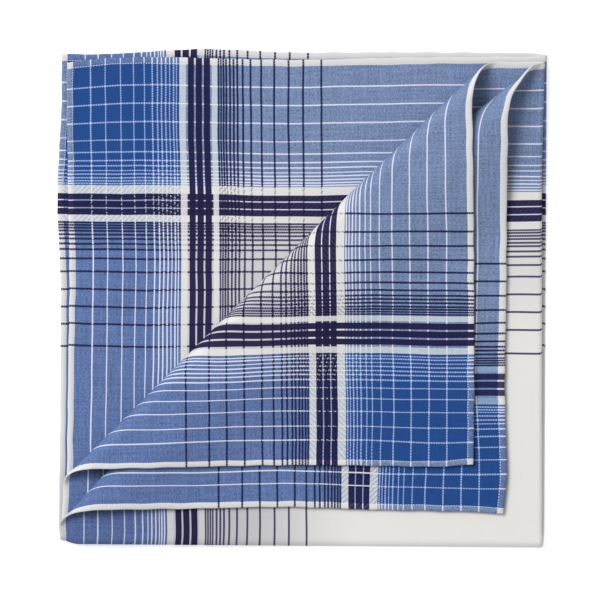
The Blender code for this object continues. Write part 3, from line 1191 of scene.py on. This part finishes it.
    def shade(self, tree: bpy.types.NodeTree, place: Place, warp: Threads, kinds: tuple[Link, Link],
              in_hem: Link) -> Link:
        """Vary the brightness as uneven yarns do.

        Args:
            tree: node tree that gets the nodes.
            place: where on the flat cloth the point lies.
            warp: the warp there.
            kinds: 1 where white yarns cross white ones, and 1 where white crosses blue.
            in_hem: 1 in the rolled hem.

        Returns:
            A grey to multiply by.
        """
        both_white, chambray = kinds
        on_weft = self.streaks(tree, place.down, place.across, self.streak)
        on_warp = self.streaks(tree, place.across, place.down, self.streak)
        streak = add_node(tree, "Mix", warp.white, on_weft, on_warp)
        slub = add_node(tree, "ADD", self.streaks(tree, place.down, place.across, self.slub),
                        self.streaks(tree, place.across, place.down, self.slub))
        uneven = add_node(tree, "Mix", both_white, self.blue_unevenness, self.white_unevenness)
        uneven = add_node(tree, "Mix", chambray, uneven, self.chambray_unevenness)
        shade = add_node(tree, "MULTIPLY_ADD", streak, uneven, 1.0)
        uneven = add_node(tree, "MULTIPLY", uneven, self.slub_unevenness)
        shade = add_node(tree, "MULTIPLY_ADD", slub, uneven, shade)

        noise = add_node(tree, "TexNoise", add_node(tree, "CombineXYZ", place.across, place.down),
                         1.0 / self.hem_mottle_size, 1.0, noise_dimensions="2D")
        mottle = add_node(tree, "MULTIPLY_ADD", noise, self.hem_mottle, 1.0 - self.hem_mottle / 2.0)
        hem_chambray = add_node(tree, "MULTIPLY", in_hem, chambray)
        shade = add_node(tree, "Mix", hem_chambray, shade, mottle)
        return add_node(tree, "CombineColor", shade, shade, shade)

    def build(self, cloth: FoldedSquare, hem: HemRoll) -> bpy.types.Material:
        """Make the material.

        Args:
            cloth: the open cloth's sizes.
            hem: the rolled hem's sizes.

        Returns:
            The material, which reads the cloth's own map.
        """
        material = bpy.data.materials.new(self.name)
        material.use_nodes = True
        tree = material.node_tree

        # Yarn-dyed cotton, plain woven: the eye sees soft matt yarns, thin lines broken into dots,
        # and blue that turns to a streaky chambray where white yarns cross it
        shader = tree.nodes["Principled BSDF"]
        shader.inputs["Roughness"].default_value = self.roughness
        shader.inputs["Specular IOR Level"].default_value = self.specular

        flat = add_node(tree, "VectorMath", add_node(tree, "UVMap", uv_map=MAP_NAME),
                        (cloth.width, cloth.length, 0.0), operation="MULTIPLY")
        place = self.find_place(tree, flat, cloth)
        warp = self.read(tree, place.across,
                         YarnOrder.across_cloth(WARP_FROM_LEFT, WARP_FROM_RIGHT, cloth.width))
        weft = self.read(tree, place.down,
                         YarnOrder.across_cloth(WEFT_FROM_TOP, WEFT_FROM_FOOT, cloth.length))
        corded = add_node(tree, "MAXIMUM", warp.corded, weft.corded)
        band = add_node(tree, "MAXIMUM", warp.faced, weft.faced)
        lined = add_node(tree, "MAXIMUM", corded, band)
        plain = add_node(tree, "SUBTRACT", 1.0, lined)
        differ = add_node(tree, "SUBTRACT", warp.white, weft.white)
        differ = add_node(tree, "ABSOLUTE", differ)
        chambray = add_node(tree, "MULTIPLY", differ, plain)
        both_white = add_node(tree, "MULTIPLY", warp.white, weft.white)
        plain_white = add_node(tree, "MULTIPLY", both_white, plain)
        satin_white = add_node(tree, "MULTIPLY", warp.faced, warp.white)
        faced_white = add_node(tree, "MULTIPLY", weft.faced, weft.white)
        faced_white = add_node(tree, "MAXIMUM", satin_white, faced_white)
        in_hem, stitch = self.hem_marks(tree, place, hem)

        colour = add_node(tree, "Mix", lined, self.ground(tree, warp, weft),
                          self.lines(tree, warp, weft, place), data_type="RGBA")
        # Uneven yarns, then painted shade where layers below show through, in the hem and by the foot fold
        for grey in (self.shade(tree, place, warp, (both_white, chambray), in_hem),
                     self.painted_shade(tree, place, (plain_white, faced_white), in_hem, cloth)):
            colour = add_node(tree, "Mix", 1.0, colour, grey, data_type="RGBA", blend_type="MULTIPLY")

        navy = add_node(tree, "MAXIMUM", warp.navy, weft.navy)
        light = add_node(tree, "SUBTRACT", 1.0, navy)
        light = add_node(tree, "MULTIPLY", light, self.stitch_share)
        stitch = add_node(tree, "MULTIPLY", stitch, light)
        colour = add_node(tree, "Mix", stitch, colour, linear_colour(Yarn.SEWING.value),
                          data_type="RGBA")
        tree.links.new(colour.outputs["Result"], shader.inputs["Base Color"])

        soft = add_node(tree, "TexNoise", flat, 1.0 / self.crumple_size, 2.0, noise_dimensions="2D")
        bump = add_node(tree, "Bump", 1.0, self.crumple)
        tree.links.new(soft.outputs[0], bump.inputs["Height"])
        tree.links.new(bump.outputs[0], shader.inputs["Normal"])
        return material


@dataclass
class Handkerchief:
    """The folded cloth: one closed sheet that follows the solid's folds."""

    cloth: FoldedSquare = field(default_factory=FoldedSquare)
    hem: HemRoll = field(default_factory=HemRoll)
    cotton: WovenCotton = field(default_factory=WovenCotton)

    # Middle of the outline in the folded sizes, which comes to stand on the origin
    centre: tuple[float, float] = (-0.5507, -0.0626)
    fine_step: float = 2.0
    coarse_step: float = 5.0

    # Lines closer to the hem or to a fold than these shares of a step are left out
    hem_clearance: float = 0.3
    fold_clearance: float = 0.4

    # Lines round the two straight folds, as distances from the fold
    fold_steps: tuple[float, ...] = (-2.6, -1.885, -1.257, -0.628, 0.0, 0.628, 1.257, 1.885, 2.6)
    foot_steps: tuple[float, ...] = (-9.0, -6.6, -5.2, -4.24, -3.5, -2.8, -2.1, -1.414, -0.707, 0.0,
                                     0.707, 1.414, 2.1, 2.8, 3.5, 4.24, 5.2, 6.6, 9.0)

    def lines(self, size: float, fold_at: float, steps: Sequence[float], hem_width: float,
              first_step: float) -> list[float]:
        """Place the mesh's lines across the flat cloth, in one direction.

        Args:
            size: width or length of the cloth.
            fold_at: where the straight fold runs.
            steps: places of the lines round that fold.
            hem_width: width of the hem.
            first_step: spacing before the fold; beyond it the spacing is fine.

        Returns:
            The places, in order.
        """
        hem = [share * hem_width for share in self.hem.profile]
        found = hem + [size - place for place in hem] + [fold_at + step for step in steps]
        clear = hem[-1] + self.fine_step * self.hem_clearance
        before = fold_at + steps[0] - first_step * self.fold_clearance
        beyond = size - fold_at - steps[-1] - self.fine_step * self.fold_clearance
        for edge, inwards, step, end in ((0.0, 1.0, first_step, before),
                                         (size, -1.0, self.fine_step, beyond)):
            place = step
            while place < end:
                if place > clear:
                    found.append(edge + place * inwards)
                place += step
        return sorted(found)

    def build(self) -> bpy.types.Object:
        """Fold the flat net of lines, and give it its thickness and its map.

        Returns:
            The cloth as a finished object.
        """
        cloth = self.cloth
        across = self.lines(cloth.width, cloth.right_fold_at, self.fold_steps, self.hem.side_width,
                            self.fine_step)
        down = self.lines(cloth.length, cloth.bottom_fold_at, self.foot_steps, self.hem.end_width,
                          self.coarse_step)
        flat = [(u, v) for v in down for u in across]
        middle = [Vector(cloth.fold_point(u, v)) for u, v in flat]
        faces = self.triangles(across, down)
        normals = self.normals(middle, faces)
        halves = [self.hem.half_thickness(min(u, cloth.width - u), min(v, cloth.length - v))
                  for u, v in flat]

        verts = [point + normal * half for point, normal, half in zip(middle, normals, halves)]
        back = []
        for number, half in enumerate(halves):
            if half == 0.0:
                back.append(number)
            else:
                back.append(len(verts))
                verts.append(middle[number] - normals[number] * half)
                flat.append(flat[number])
        faces += [tuple(back[corner] for corner in reversed(face)) for face in faces]
        centre = Vector((*self.centre, 0.0))
        mesh = bpy.data.meshes.new("folded_cloth")
        mesh.from_pydata([(point - centre) * METRES_PER_MM for point in verts], [], faces)
        layer = mesh.uv_layers.new(name=MAP_NAME)
        for loop in mesh.loops:
            u, v = flat[loop.vertex_index]
            layer.data[loop.index].uv = (u / cloth.width, v / cloth.length)
        mesh.shade_smooth()
        mesh.materials.append(self.cotton.build(cloth, self.hem))
        piece = bpy.data.objects.new("folded_cloth", mesh)
        bpy.context.scene.collection.objects.link(piece)
        return piece

    def triangles(self, across: Sequence[float], down: Sequence[float]) -> list[tuple[int, ...]]:
        """Join the net's points, with each diagonal along the crease of its half.

        In the two corners where that diagonal would cut off a triangle without thickness, it runs
        the other way.

        Args:
            across: places of the lines across the cloth.
            down: places of the lines down the cloth.

        Returns:
            Corners of the triangles, by number.
        """
        count = len(across)
        found = []
        for row in range(len(down) - 1):
            for column in range(count - 1):
                top_left = row * count + column
                top_right, low_left, low_right = top_left + 1, top_left + count, top_left + count + 1
                in_corner = row == len(down) - 2 and column in (0, count - 2)
                if (across[column] < self.cloth.right_fold_at) != in_corner:
                    found += [(top_left, low_left, low_right), (top_left, low_right, top_right)]
                else:
                    found += [(top_left, low_left, top_right), (top_right, low_left, low_right)]
        return found

    @staticmethod
    def normals(points: Sequence[Vector], faces: Sequence[tuple[int, ...]]) -> list[Vector]:
        """Find the cloth's normal at each point.

        Args:
            points: the middle of the cloth at each point.
            faces: corners of the triangles.

        Returns:
            One unit normal for each point.
        """
        sums = [Vector((0.0, 0.0, 0.0)) for _ in points]
        for a, b, c in faces:
            normal = (points[b] - points[a]).cross(points[c] - points[a]).normalized()
            for corner in (a, b, c):
                sums[corner] += normal
        return [total.normalized() for total in sums]


@dataclass(frozen=True)
class Studio:
    """Pale floor, soft light from the upper left, and a camera straight above."""

    floor_size: float = 6.0
    floor_colour: str = "#F4F4F4"
    floor_glow: float = 0.5
    view_width: float = 0.2649
    camera_height: float = 10.0
    sensor_width: float = 36.0
    camera_place: tuple[float, float] = (-0.0008, -0.0008)
    fill_strength: float = 0.455
    key_power: float = 52.0
    key_size: float = 1.2
    key_place: tuple[float, float, float] = (-1.2, 0.8, 1.9)

    def build(self) -> None:
        """Make the floor, the light and the camera."""
        self.make_floor()
        self.make_light()
        self.make_camera()

    def make_floor(self) -> None:
        """Lay a plain pale floor under the cloth."""
        bpy.ops.object.select_all(action="DESELECT")
        bpy.ops.mesh.primitive_plane_add(size=self.floor_size)
        floor = bpy.context.object
        floor.name = "studio_floor"

        # Seamless matt paper: the eye sees an even pale ground that only takes a soft shadow
        paper = bpy.data.materials.new("paper_seamless_matt")
        paper.use_nodes = True
        shader = paper.node_tree.nodes["Principled BSDF"]
        shader.inputs["Base Color"].default_value = linear_colour(self.floor_colour)
        shader.inputs["Roughness"].default_value = 1.0
        shader.inputs["Emission Color"].default_value = linear_colour("#FFFFFF")
        shader.inputs["Emission Strength"].default_value = self.floor_glow
        floor.data.materials.append(paper)

    def make_light(self) -> None:
        """Light the cloth softly from all round, and a little more from the upper left."""
        world = bpy.data.worlds.new("studio_world")
        bpy.context.scene.world = world
        world.use_nodes = True
        background = world.node_tree.nodes["Background"]
        background.inputs["Color"].default_value = (1.0, 1.0, 1.0, 1.0)
        background.inputs["Strength"].default_value = self.fill_strength
        lamp = bpy.data.lights.new("key_light", "AREA")
        lamp.energy = self.key_power
        lamp.size = self.key_size
        key = bpy.data.objects.new("key_light", lamp)
        key.location = self.key_place
        key.rotation_euler = (-Vector(self.key_place)).to_track_quat("-Z", "Y").to_euler()
        bpy.context.scene.collection.objects.link(key)

    def make_camera(self) -> None:
        """Set the camera straight above, far away and with a long lens."""
        lens = bpy.data.cameras.new("camera")
        lens.sensor_width = self.sensor_width
        lens.lens = self.sensor_width * self.camera_height / self.view_width
        camera = bpy.data.objects.new("camera", lens)
        camera.location = (*self.camera_place, self.camera_height)
        bpy.context.scene.collection.objects.link(camera)
        bpy.context.scene.camera = camera
        bpy.context.scene.view_settings.view_transform = "Standard"


def main() -> None:
    """Load the frame, make the cloth and the studio, and log the cloth's face count."""
    logging.basicConfig(level=logging.INFO, format="%(message)s")
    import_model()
    handkerchief = Handkerchief()
    sheet = handkerchief.build()
    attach(sheet, BODY)
    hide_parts(CLOTH_NODE)
    log.info("folded cloth: %d faces", len(sheet.data.polygons))
    Studio().build()
    log.info("studio: floor, light and camera")
    bpy.context.view_layer.update()


if __name__ == "__main__":
    main()
